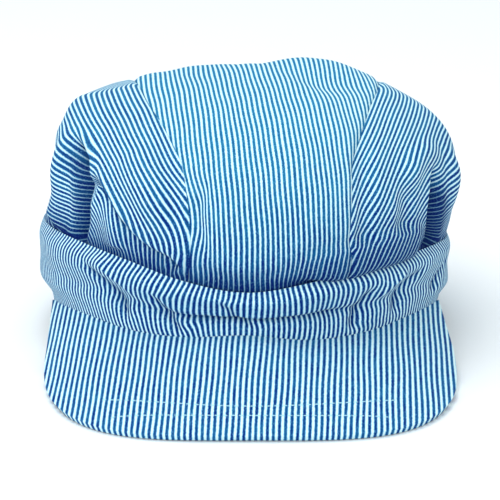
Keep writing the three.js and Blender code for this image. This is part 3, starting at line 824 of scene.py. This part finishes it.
def side_disc(sign, name, across, up):
    seam = lambda way: disc_place(seam_curve[name](way), way)
    ends = np.array([-1.0, 1.0])
    feet, heads = seam(ends), seam(ends * SIDE_SPLIT)
    start, end = np.arctan2(np.abs(feet[:, 0]), -feet[:, 1])
    along = side_along((1 - across) if sign < 0 else across)
    turn = mix(start, end, along)
    foot = np.stack([sign * np.sin(turn), -np.cos(turn)], -1)
    head = seam(mix(-SIDE_SPLIT, SIDE_SPLIT, along))
    front = seam(mix(-1, -SIDE_SPLIT, up))
    back = seam(mix(1, SIDE_SPLIT, up))
    a, u = along[:, None], up[:, None]
    corners = mix(mix(feet[0], feet[1], a), mix(heads[0], heads[1], a), u)
    return mix(foot, head, u) + mix(front, back, a) - corners


def seam_distances(points, names):
    """How far points on the smooth crown are from the named seams."""
    best = np.full(len(points), np.inf)
    for name in names:
        way = np.linspace(-1, 1, 90)
        line = crown_base(disc_place(seam_curve[name](way), way))
        best = np.minimum(best, nearest_on(line, points)[0])
    return best


# Stripes


def wobble(points, depth):
    """Slight waves of the stripes, as the cloth was never laid quite straight."""
    x, y, z = points[:, 0], points[:, 1], points[:, 2]
    wave = np.sin(150 * z + 50 * x) + 0.7 * np.sin(230 * z - 170 * x + 120 * y)
    return depth * (wave + np.sin(90 * y + 210 * x))


def crown_height(disc):
    """Direction of each place from the front, in degrees, and its way up from the band along the cloth."""
    angle, inward = on_disc(disc)
    return angle, np.maximum(inward, 0) * crown_profiles(angle)[2][:, -1]


def pulled(angle, height):
    """How far the cloth above the band is dragged sideways, right of the middle of the front."""
    s = shape()
    return s.drag * stretch(angle, start=4, rise=26, end=72, fall=14) * hill(height, 0.009, 1.6)


def centre_stripes(disc, points, normals, lines, columns):
    """Distance across the panel from a line that leans a little to one side as it rises."""
    c = cloth()
    rows = points.reshape(-1, columns + 1, 3)
    across = running(np.linalg.norm(np.diff(rows, axis=1), axis=2), 1)
    down = running(np.linalg.norm(np.diff(rows, axis=0), axis=2), 0)
    lean = smooth_curve([-0.1, 0.05, 0.07, 0.15, 0.3], [0.006, 0.006, 0.004, -0.003, -0.008])
    middle = columns // 2
    u = np.empty_like(across)
    for j, line in enumerate(rows):
        at = lean(down[j, middle])
        u[j] = across[j] - np.interp(at, line[:, 0], across[j])
    angle, height = crown_height(disc)
    u = u.reshape(-1) + wobble(points, WOBBLE) + pulled(angle, height) - bunching(points, normals, lines)
    return np.stack([u / c.crown_pitch, down.reshape(-1) * 100], -1)


def band_stripes(angle, up, points, hidden):
    """Upright round the band, wider where its cloth lies slack at the sides, and curved a little in front."""
    s, c = shape(), cloth()
    ring = np.linspace(-180, 180, 721)
    edge = rim_points(ring)
    steps = np.hypot(np.diff(edge[:, 0]), np.diff(edge[:, 1]))
    slack = 1 - 0.3 * hill(np.abs(ring) - 88, 26, 4)
    u = np.interp(angle, ring, running(steps * (slack[1:] + slack[:-1]) / 2))
    twist = np.where(np.abs(angle) < 90, -np.sin(2 * np.radians(angle)), 0)
    shear = np.where(angle < 0, 0.0042, 0.0026) * twist
    u = u + shear * np.sin(np.pi * np.minimum(up, 0.98) / 0.86) + wobble(points, 0.0002) + hidden
    return np.stack([u / c.crown_pitch, up * s.band_height * 100], -1)


def laid_out(points, columns, slope, hold):
    """Where the stripes run over a grid of points. Their steps follow the wanted slope as nearly as one cloth
    can, and give way where the hold is weak, as at a pleat. It is solved column by column."""
    p = points.reshape(-1, columns + 1, 3)
    g = slope.reshape(p.shape)
    w = hold.reshape(p.shape[:2])
    wide = np.linalg.norm(np.gradient(p, axis=1), axis=2)
    tall = np.linalg.norm(np.gradient(p, axis=0), axis=2)
    across = np.minimum(w[:, 1:], w[:, :-1]) * (tall[:, 1:] + tall[:, :-1]) / (wide[:, 1:] + wide[:, :-1])
    up = np.minimum(w[1:], w[:-1]) * (wide[1:] + wide[:-1]) / (tall[1:] + tall[:-1])
    across_pull = across * ((g[:, 1:] + g[:, :-1]) / 2 * np.diff(p, axis=1)).sum(2)
    up_pull = up * ((g[1:] + g[:-1]) / 2 * np.diff(p, axis=0)).sum(2)
    pull, stiff = np.zeros_like(w), np.zeros_like(w)
    for ahead, behind, link, step in (
        (np.s_[:, 1:], np.s_[:, :-1], across, across_pull),
        (np.s_[1:], np.s_[:-1], up, up_pull),
    ):
        pull[ahead] += step
        pull[behind] -= step
        stiff[ahead] += link
        stiff[behind] += link
    # one corner is held, as only the steps are given
    stiff[0, 0] += 1
    freed, moved = [], []
    for j in range(columns + 1):
        block = np.diag(stiff[:, j]) - np.diag(up[:, j], 1) - np.diag(up[:, j], -1)
        right = pull[:, j].copy()
        if j:
            link = across[:, j - 1]
            block -= link[:, None] * freed[-1] * link
            right += link * (freed[-1] @ moved[-1])
        freed.append(np.linalg.inv(block))
        moved.append(right)
    places = np.zeros((len(w), columns + 2))
    for j in range(columns, -1, -1):
        link = across[:, j] if j < columns else 0
        places[:, j] = freed[j] @ (moved[j] + link * places[:, j + 1])
    return places[:, :-1].reshape(-1)


def side_stripes(sign, name, disc, points, normals, lines, columns):
    """Slanting at the front, level along the side, with the turn between them in the pleat."""
    s, c = shape(), cloth()
    angle, height = crown_height(disc)
    upward = unit(crown_base(disc * 0.99) - points)
    rearward = sign * unit(np.cross(upward, normals))

    def slanting(lean, climb):
        """The step across the stripes that lies along the cloth and shows this slant in the picture."""
        way = np.array([-sign * lean, PICTURE_BACK * climb, PICTURE_UP * climb])
        way = way - normals * (normals @ way)[:, None]
        return way * np.maximum(1, 0.85 / np.linalg.norm(way, axis=1))[:, None]

    slant, turns = SLANTS[name], TURNS[name]
    turn_angle = table_curve(turns, "height", "angle")(height)
    turn_width = table_curve(turns, "height", "width")(height)
    beyond = np.radians(sign * (angle - turn_angle)) * s.opening_half_length
    weight = ease(0.5 + beyond / turn_width)[:, None]
    slope = slant["finer"] * slanting(slant["lean"], slant["climb"])
    if sign < 0:
        # finer towards the foot, and nearly upright in the small corner below the slanting fold
        slope = (1 + 0.16 * ease((0.052 - height) / 0.03)[:, None]) * slope
        line = table_curve(CORNER, "angle", "height")(angle)
        below = ease(0.5 + (line - height) / 0.003) * ease((0.043 - height) / 0.004)
        slope = mix(slope, CORNER_FINENESS * slanting(0.97, 0.24), below[:, None])
    slope = mix(slope, LEVEL_FINENESS * unit(upward - slant["fall"] * rearward), weight)
    hold = 1 + FRONT_HOLD * ease((100 - sign * angle) / 35) * (1 - weight[:, 0])
    for fold, line in zip(FOLDS, lines):
        if fold["part"]:
            distance, _, strength, _ = fold_places(fold, line, points, normals)
            cut = 0.995 * strength * hill(distance, PLEAT_CUT)
            hold *= 1 - cut * ease((PLEAT_TOP - height) / 0.006)
    u = laid_out(points, columns, slope, hold)
    curl = np.exp(-np.maximum(beyond, 0) / 0.007) * ease(beyond / 0.002 + 0.5) * ease((0.04 - height) / 0.012)
    u = u - slant["curl"] * curl
    u = u + wobble(points, WOBBLE) - pulled(angle, height) + sign * bunching(points, normals, lines)
    return np.stack([u / c.crown_pitch, height * 100], -1)


# Materials


def new_group(name, inputs, outputs):
    """A node group with its inputs and outputs by name: the kind of a socket, or a value's default."""
    tree = bpy.data.node_groups.new(name, "ShaderNodeTree")
    for way, sockets in (("INPUT", inputs), ("OUTPUT", outputs)):
        for label, given in sockets.items():
            kind = given if isinstance(given, str) else "Float"
            made = tree.interface.new_socket(name=label, in_out=way, socket_type=f"NodeSocket{kind}")
            if given != kind:
                made.default_value = given
    return tree, tree.nodes.new("NodeGroupInput").outputs, tree.nodes.new("NodeGroupOutput").inputs


def new_material(name, settings):
    """A material, its node tree and its shader with some settings."""
    material = bpy.data.materials.new(name)
    material.use_nodes = True
    shader = material.node_tree.nodes["Principled BSDF"]
    for label, value in settings.items():
        shader.inputs[label].default_value = value
    return material, material.node_tree, shader


def raised(tree, shader, height, distance):
    """The fine relief of yarns on a shader."""
    relief = tree.nodes.new("ShaderNodeBump")
    relief.inputs["Strength"].default_value = 0.4
    relief.inputs["Distance"].default_value = distance
    tree.links.new(height, relief.inputs["Height"])
    tree.links.new(relief.outputs["Normal"], shader.inputs["Normal"])


def axes(tree, place):
    """The parts of a vector."""
    split = tree.nodes.new("ShaderNodeSeparateXYZ")
    tree.links.new(place, split.inputs[0])
    return split.outputs


def math_node(tree, operation, a, b=None, clamp=False):
    node = tree.nodes.new("ShaderNodeMath")
    node.operation = operation
    node.use_clamp = clamp
    for index, value in enumerate((a, b)):
        if value is None:
            continue
        if isinstance(value, (int, float)):
            node.inputs[index].default_value = value
        else:
            tree.links.new(value, node.inputs[index])
    return node.outputs[0]


def chain(tree, value, *steps):
    """A value taken through steps of maths: an operation, its other value, and True where it is clamped."""
    for operation, other, *clamp in steps:
        value = math_node(tree, operation, value, other, clamp=bool(clamp))
    return value


def noise_node(tree, vector, scale, detail=2.0):
    node = tree.nodes.new("ShaderNodeTexNoise")
    node.inputs["Scale"].default_value = scale
    node.inputs["Detail"].default_value = detail
    tree.links.new(vector, node.inputs["Vector"])
    return node.outputs["Fac"]


def stripe_group():
    """Hickory stripe: where the dyed yarns lie, with ragged edges, and how strongly they took the dye."""
    tree, given, out = new_group(
        "Hickory Stripe",
        {"Cloth": "Vector", "Place": "Vector", "Dyed Share": 0.5, "Raggedness": 0.22, "Softness": 0.36,
         "Flecks": 0.3},
        {"Dyed": "Float", "Shade": "Float", "Grain": "Float"})
    grain = noise_node(tree, given["Place"], 1900.0, 1.0)
    ragged = noise_node(tree, given["Place"], 1300.0, 1.0)
    ragged = chain(tree, ragged, ("SUBTRACT", 0.5), ("MULTIPLY", given["Raggedness"]))
    across = axes(tree, given["Cloth"])["X"]
    wave = chain(tree, across, ("ADD", ragged), ("PINGPONG", 0.5), ("MULTIPLY", 2.0))
    edge = math_node(tree, "SUBTRACT", given["Dyed Share"], wave)
    edge = chain(tree, edge, ("DIVIDE", given["Softness"]), ("ADD", 0.5, True))
    fleck = chain(tree, grain, ("SUBTRACT", 0.58), ("MULTIPLY", 5.0, True), ("MULTIPLY", given["Flecks"]))
    kept = math_node(tree, "SUBTRACT", 1.0, fleck)
    dyed = math_node(tree, "MULTIPLY", edge, kept)
    yarn = noise_node(tree, given["Cloth"], 1.1, 2.0)
    yarn = chain(tree, yarn, ("SUBTRACT", 0.38), ("MULTIPLY", 4.0, True))
    for label, value in (("Dyed", dyed), ("Shade", yarn), ("Grain", grain)):
        tree.links.new(value, out[label])
    return tree


def weave_group():
    """Twill weave: fine slanting ribs with the yarns' unevenness, as a height."""
    tree, given, out = new_group("Twill Weave", {"Place": "Vector", "Ribs": 9500.0}, {"Height": "Float"})
    way = axes(tree, given["Place"])
    ribs = chain(tree, way["X"], ("ADD", way["Z"]), ("ADD", way["Y"]), ("MULTIPLY", given["Ribs"]))
    ribs = chain(tree, ribs, ("SINE", None), ("MULTIPLY", 0.25))
    yarns = noise_node(tree, given["Place"], 1400.0, 2.0)
    soft = noise_node(tree, given["Place"], 130.0, 2.0)
    soft = math_node(tree, "MULTIPLY", soft, 2.5)
    tree.links.new(chain(tree, ribs, ("ADD", yarns), ("ADD", soft)), out["Height"])
    return tree


def mixed(tree, factor, a, b):
    """Colour between a and b, each a colour or a socket."""
    node = tree.nodes.new("ShaderNodeMix")
    node.data_type = "RGBA"
    tree.links.new(factor, node.inputs["Factor"])
    for name, value in (("A", a), ("B", b)):
        target = next(entry for entry in node.inputs if entry.name == name and entry.type == "RGBA")
        if isinstance(value, bpy.types.NodeSocket):
            tree.links.new(value, target)
        else:
            target.default_value = (*value, 1)
    return next(entry for entry in node.outputs if entry.type == "RGBA")


def height_group():
    """A value that goes from low at the band's foot to high on the crown's top."""
    tree, given, out = new_group(
        "Value By Height", {"Place": "Vector", "Low": "Float", "High": "Float"}, {"Value": "Float"})
    node = tree.nodes.new("ShaderNodeMapRange")
    node.inputs["From Min"].default_value = FADE_FROM
    node.inputs["From Max"].default_value = FADE_TO
    tree.links.new(axes(tree, given["Place"])["Z"], node.inputs["Value"])
    tree.links.new(given["Low"], node.inputs["To Min"])
    tree.links.new(given["High"], node.inputs["To Max"])
    tree.links.new(node.outputs["Result"], out["Value"])
    return tree


def dye_group():
    """Colours of the striped cloth: fresh and faded dye, a lighter edge where dyed and undyed yarns mingle,
    undyed yarns between, and the painted shade of the folds over all of them."""
    inputs = dict.fromkeys(("Dyed", "Shade", "Grain", "Fade", "Fold"), "Float")
    inputs |= dict.fromkeys(("Fresh Dye", "Faded Dye", "Stripe Edge", "Undyed", "Fold Dark"), "Color")
    tree, given, out = new_group("Dyed Cotton", inputs, {"Colour": "Color"})
    uneven = math_node(tree, "MULTIPLY", given["Shade"], 0.5)
    # the fade given here carries painted light, paler towards the top
    fade = math_node(tree, "ADD", given["Fade"], uneven, clamp=True)
    dye = mixed(tree, fade, given["Fresh Dye"], given["Faded Dye"])
    speckle = math_node(tree, "MULTIPLY", given["Grain"], 0.15)
    dye = mixed(tree, speckle, dye, given["Faded Dye"])
    dulled = math_node(tree, "MULTIPLY", given["Grain"], 0.14)
    undyed = mixed(tree, dulled, given["Undyed"], (0, 0, 0))
    twice = math_node(tree, "MULTIPLY", given["Dyed"], 2.0)
    rim = math_node(tree, "ADD", twice, 0.0, clamp=True)
    core = math_node(tree, "SUBTRACT", twice, 1.0, clamp=True)
    colour = mixed(tree, core, mixed(tree, rim, undyed, given["Stripe Edge"]), dye)
    # painted shade deep in the folds, in the band's crease and behind the band
    colour = mixed(tree, given["Fold"], colour, given["Fold Dark"])
    tree.links.new(colour, out["Colour"])
    return tree


def group_node(tree, name, build, **values):
    """A shared node group in a tree, made the first time it is asked for, with its inputs set or joined."""
    node = tree.nodes.new("ShaderNodeGroup")
    node.node_tree = bpy.data.node_groups.get(name) or build()
    for key, value in values.items():
        target = node.inputs[key.replace("_", " ").title()]
        if isinstance(value, bpy.types.NodeSocket):
            tree.links.new(value, target)
        else:
            target.default_value = value
    return node


def stripe_material(name, share_low, share_high, fade_and_light_low, fade_and_light_high):
    """Striped cotton, faded more towards the top as painted light: dyed yarns between royal and teal, undyed
    yarns with a cold tint, matte twill, with painted shade deep in the folds."""
    c = cloth()
    matte = {"Sheen Weight": 0.01, "Sheen Roughness": 0.4, "Specular IOR Level": 0.06}
    material, tree, shader = new_material(name, matte)
    map_node = tree.nodes.new("ShaderNodeUVMap")
    map_node.uv_map = "cloth"
    place = tree.nodes.new("ShaderNodeTexCoord").outputs["Object"]
    share = group_node(tree, "Value By Height", height_group, place=place, low=share_low, high=share_high)
    # painted light: the fade rises with height, making the top of the crown paler
    fade = group_node(tree, "Value By Height", height_group, place=place, low=fade_and_light_low, high=fade_and_light_high)
    # painted shade: the cloth darkens as deep as it lies in a fold, and its dyed stripes widen there
    fold_shade_attribute = tree.nodes.new("ShaderNodeAttribute")
    fold_shade_attribute.attribute_name = "fold_depth"
    fold = math_node(tree, "MULTIPLY", fold_shade_attribute.outputs["Fac"], c.fold_shade)
    shaded_share = math_node(tree, "MULTIPLY", fold, FOLD_SHADE_WIDENING)
    shaded_share = math_node(tree, "ADD", share.outputs["Value"], shaded_share)
    stripe = group_node(tree, "Hickory Stripe", stripe_group, cloth=map_node.outputs["UV"], place=place,
                        dyed_share=shaded_share)
    dye = group_node(tree, "Dyed Cotton", dye_group, dyed=stripe.outputs["Dyed"],
                     shade=stripe.outputs["Shade"], grain=stripe.outputs["Grain"],
                     fade=fade.outputs["Value"], fold=fold,
                     fresh_dye=(*c.blue, 1), faded_dye=(*c.teal, 1), stripe_edge=(*c.azure, 1),
                     undyed=(*c.white, 1), fold_dark=(*(v * FOLD_DARKNESS for v in c.blue), 1))
    tree.links.new(dye.outputs["Colour"], shader.inputs["Base Color"])
    rough = math_node(tree, "MULTIPLY", stripe.outputs["Grain"], 0.12)
    rough = math_node(tree, "ADD", rough, 0.82)
    tree.links.new(rough, shader.inputs["Roughness"])
    weave = group_node(tree, "Twill Weave", weave_group, place=place)
    raised(tree, shader, weave.outputs["Height"], 0.0003)
    return material


def thread_material():
    """Light sewing thread with fine fibres."""
    c = cloth()
    material, tree, shader = new_material("sewing_thread", {"Roughness": 0.7})
    place = tree.nodes.new("ShaderNodeTexCoord")
    fibre = noise_node(tree, place.outputs["Object"], 2500.0, 2.0)
    tint = mixed(tree, fibre, [v * 0.8 for v in c.thread], c.thread)
    tree.links.new(tint, shader.inputs["Base Color"])
    raised(tree, shader, fibre, 0.0001)
    return material


def floor_material(colour):
    """Pale paint, very slightly cloudy."""
    material, tree, shader = new_material("floor_paint", {"Roughness": 0.9})
    place = tree.nodes.new("ShaderNodeTexCoord")
    cloudy = noise_node(tree, place.outputs["Object"], 6.0, 3.0)
    tint = mixed(tree, cloudy, colour, [v * 0.985 for v in colour])
    tree.links.new(tint, shader.inputs["Base Color"])
    return material


# Operators


def crown_panel(disc, seams, columns, stripes):
    """Points of a panel of the crown, its stripes, and how deep each point lies in a fold, which is its
    painted shade.
    """
    lines = fold_lines()
    base = crown_base(disc)
    normals = normals_of(crown_base, disc)
    points = crown_points(disc, base, normals, lines, seam_distances(base, seams))
    shade_depths = fold_shade_mask(disc, base, points, normals, lines)
    return points, stripes(disc, base, normals, lines, columns), shade_depths


class CAP_OT_crown(bpy.types.Operator):
    """Make the three panels of the crown, with their pleats, folds and seams"""

    bl_idname = "cap.crown"
    bl_label = "Crown Panels"

    def execute(self, context):
        c = cloth()

        def centre(across, along):
            return crown_panel(centre_disc(across, along), ("left", "right"), CENTRE_GRID[0], centre_stripes)

        piece = grid_object("crown_centre_cloth", *CENTRE_GRID, centre, c.crown_cloth)
        seat(piece, "crown_centre", stripe_material("crown_stripe", **CENTRE_DYE_AND_LIGHT))

        for sign, name in ((-1, "left"), (1, "right")):

            def side(across, up):
                disc = side_disc(sign, name, across, up)
                return crown_panel(disc, (name,), SIDE_GRID[0], lambda *at: side_stripes(sign, name, *at))

            piece = grid_object(f"crown_{name}_cloth", *SIDE_GRID, side, c.crown_cloth)
            stripe = stripe_material(f"side_stripe_{name}", **SIDE_DYE_AND_LIGHT)
            seat(piece, f"crown_side_{name}", stripe)
        return {"FINISHED"}


class CAP_OT_band(bpy.types.Operator):
    """Make the tall crumpled band round the opening"""

    bl_idname = "cap.band"
    bl_label = "Band"

    def execute(self, context):
        s, c = shape(), cloth()

        def band(across, up):
            angle = mix(-180.0, 180.0, across)
            points, hidden, crease_shade = crushed_band_points(angle, up)
            offset = rumples(points, s.rumple) * np.sin(np.pi * up)
            points = points + outwards(angle) * offset[:, None]
            return points, band_stripes(angle, up, points, hidden), crease_shade

        piece = grid_object("band_cloth_piece", *BAND_GRID, band, c.band_cloth, bevel=0.0007, ring=True)
        seat(piece, "band", stripe_material("band_stripe", **BAND_DYE))
        return {"FINISHED"}


def bill_outline():
    """Outline of the bill in plan from one end round the front to the other, evenly spaced."""
    s, c = shape(), cloth()
    ends = np.array([-BILL_END_ANGLE, BILL_END_ANGLE])
    end_points = rim_points(ends) + outwards(ends) * (JOIN_GAP + BILL_END_WIDTH)
    half_width = s.opening_half_width + s.bill_flare
    reach = s.opening_half_length + s.bill_length
    turn = np.linspace(-np.pi / 2, np.pi / 2, 241)
    x = half_width * np.sign(turn) * np.abs(np.sin(turn)) ** (2 / BILL_SIDE_POWER)
    power = np.where(turn < 0, BILL_FRONT_POWER_LEFT, BILL_FRONT_POWER)
    y = -reach * mix(BILL_WIDEST_SHARE, 1, np.abs(np.cos(turn)) ** (2 / power))
    flat = np.concatenate([end_points[:1, :2], np.stack([x, y], -1), end_points[1:, :2]])
    lengths = running(np.hypot(*np.diff(flat, axis=0).T))

    def at(share):
        where = share * lengths[-1]
        px, py = np.interp(where, lengths, flat[:, 0]), np.interp(where, lengths, flat[:, 1])
        rise = np.maximum(0, (py + BILL_FLOOR_SHARE * reach) / (BILL_FLOOR_SHARE * reach + end_points[0, 1]))
        return np.stack([px, py, mix(c.bill_cloth, end_points[0, 2] + BILL_ROOT_RISE, rise**1.5)], -1)

    return at


def bill_points(share, out):
    """Upper side of the bill: share of the way round it, and how far out it is."""
    s = shape()
    angle = mix(-BILL_END_ANGLE, BILL_END_ANGLE, share)
    root = rim_points(angle) + outwards(angle) * JOIN_GAP
    root[:, 2] += BILL_ROOT_RISE
    points = mix(root, bill_outline()(share), out[:, None])
    points[:, 2] += s.bill_swell * 4 * out * (1 - out) * np.sin(np.pi * share)
    return points


def stitch_line(row, half, bow):
    """A row of sewing on the bill: plan distance from the opening's middle, its ends bowed back."""
    out = np.linspace(0.4, 0.98, 60)
    points = []
    for share in np.linspace(0.25, 0.75, 241):
        column_points = bill_points(np.full_like(out, share), out)
        target = -row + bow * (column_points[:, 0] / half) ** 2
        gap = column_points[:, 1] - target
        i = int(np.argmin(np.abs(gap)))
        points.append(column_points[i])
    points = np.array(points)
    line = points[np.abs(points[:, 0]) < half]
    smooth = [np.polyval(np.polyfit(line[:, 0], line[:, k], 6), line[:, 0]) for k in (1, 2)]
    return np.stack([line[:, 0], *smooth], -1)


class CAP_OT_bill(bpy.types.Operator):
    """Make the broad bill with its rounded front edge"""

    bl_idname = "cap.bill"
    bl_label = "Bill"

    def execute(self, context):
        c = cloth()

        def bill(across, along):
            share, out = across, 1 - along
            points = bill_points(share, out)
            u = points[:, 0] - 0.05 * points[:, 1] + wobble(points, 0.00012)
            return points, np.stack([u / c.bill_pitch, points[:, 1] * 100], -1), np.zeros(len(points))

        piece = grid_object("bill_cloth_piece", *BILL_GRID, bill, c.bill_cloth, bevel=0.0011)
        seat(piece, "bill", stripe_material("bill_stripe", **BILL_DYE))
        return {"FINISHED"}


class CAP_OT_stitches(bpy.types.Operator):
    """Sew the two rows of light thread along the front of the bill"""

    bl_idname = "cap.stitches"
    bl_label = "Bill Stitching"

    def execute(self, context):
        c = cloth()
        bm = bmesh.new()
        shift = place_in_frame()
        for row, half, bow in ((c.stitch_row_inner, 0.064, 0.0115), (c.stitch_row_outer, 0.06, 0.0045)):
            line = stitch_line(row, half, bow)
            lengths = running(np.linalg.norm(np.diff(line, axis=0), axis=1))
            for i in range(int(lengths[-1] / c.stitch_length)):
                places = (i + np.array(STITCH_ENDS)) * c.stitch_length
                ends = np.stack([np.interp(places, lengths, line[:, k]) for k in range(3)], -1) + shift
                a, b = Vector(ends[0]), Vector(ends[1])
                verts = bmesh.ops.create_uvsphere(bm, u_segments=8, v_segments=5, radius=0.5)["verts"]
                turn = (b - a).to_track_quat("X", "Z").to_matrix().to_4x4()
                lift = Vector((0, 0, c.thread_width * 0.1))
                bmesh.ops.scale(bm, vec=((b - a).length, c.thread_width, c.thread_width), verts=verts)
                bmesh.ops.transform(bm, matrix=turn, verts=verts)
                bmesh.ops.translate(bm, vec=(a + b) / 2 + lift, verts=verts)
        for face in bm.faces:
            face.smooth = True
        piece = put_mesh("bill_stitching", bm)
        piece.data.materials.append(thread_material())
        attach(piece, "root")
        return {"FINISHED"}


class CAP_OT_stage(bpy.types.Operator):
    """Set the pale floor, the soft studio light and the camera"""

    bl_idname = "cap.stage"
    bl_label = "Floor, Light and Camera"

    def execute(self, context):
        st = context.scene.cap_stage
        middle = Vector(place_in_frame())
        bm = bmesh.new()
        bmesh.ops.create_grid(bm, x_segments=1, y_segments=1, size=4.0)
        floor = put_mesh("floor", bm)
        floor.data.materials.append(floor_material(st.floor_colour))

        world = bpy.data.worlds.new("studio")
        world.use_nodes = True
        sky = world.node_tree.nodes["Background"].inputs
        sky["Color"].default_value = (0.93, 0.99, 1.0, 1)
        sky["Strength"].default_value = 0.95
        context.scene.world = world

        for name, power, away in (
            ("key", st.key_power, (-0.3, -0.15, 1.1)),
            ("fill", st.fill_power, (-0.35, -1.2, 0.45)),
        ):
            lamp = bpy.data.lights.new(name, "AREA")
            lamp.energy = power
            lamp.size = 0.9
            lamp.color = (0.97, 0.99, 1.0)
            light = put(name, lamp)
            light.location = middle + Vector(away)
            aim = middle + Vector((0, 0, 0.06)) - light.location
            light.rotation_mode = "QUATERNION"
            light.rotation_quaternion = aim.to_track_quat("-Z", "Y")

        camera = bpy.data.cameras.new("camera")
        camera.lens = st.camera_lens
        camera.sensor_width = 36.0
        camera.dof.use_dof = False
        holder = put("camera", camera)
        up = st.camera_elevation
        holder.location = middle + st.camera_distance * Vector((0, -math.cos(up), math.sin(up)))
        holder.rotation_euler = (math.pi / 2 - up + st.camera_aim, 0, 0)
        context.scene.camera = holder
        context.scene.view_settings.view_transform = "Standard"
        return {"FINISHED"}


class CAP_PT_panel(bpy.types.Panel):
    """Lists the steps that make the cap"""

    bl_idname = "CAP_PT_panel"
    bl_label = "Engineer Cap"
    bl_space_type = "VIEW_3D"
    bl_region_type = "UI"
    bl_category = "Cap"

    def draw(self, context):
        layout = self.layout
        for operator in ("cap.crown", "cap.band", "cap.bill", "cap.stitches", "cap.stage"):
            layout.operator(operator)


CLASSES = (
    CapShapeProperties,
    CapClothProperties,
    CapStageProperties,
    CAP_OT_crown,
    CAP_OT_band,
    CAP_OT_bill,
    CAP_OT_stitches,
    CAP_OT_stage,
    CAP_PT_panel,
)


def register():
    for cls in CLASSES:
        bpy.utils.register_class(cls)
    bpy.types.Scene.cap_shape = bpy.props.PointerProperty(type=CapShapeProperties)
    bpy.types.Scene.cap_cloth = bpy.props.PointerProperty(type=CapClothProperties)
    bpy.types.Scene.cap_stage = bpy.props.PointerProperty(type=CapStageProperties)


def unregister():
    del bpy.types.Scene.cap_stage
    del bpy.types.Scene.cap_cloth
    del bpy.types.Scene.cap_shape
    for cls in reversed(CLASSES):
        bpy.utils.unregister_class(cls)


def main():
    register()
    bpy.ops.cap.stage()
    bpy.ops.cap.crown()
    bpy.ops.cap.band()
    bpy.ops.cap.bill()
    bpy.ops.cap.stitches()


if __name__ == "__main__":
    main()
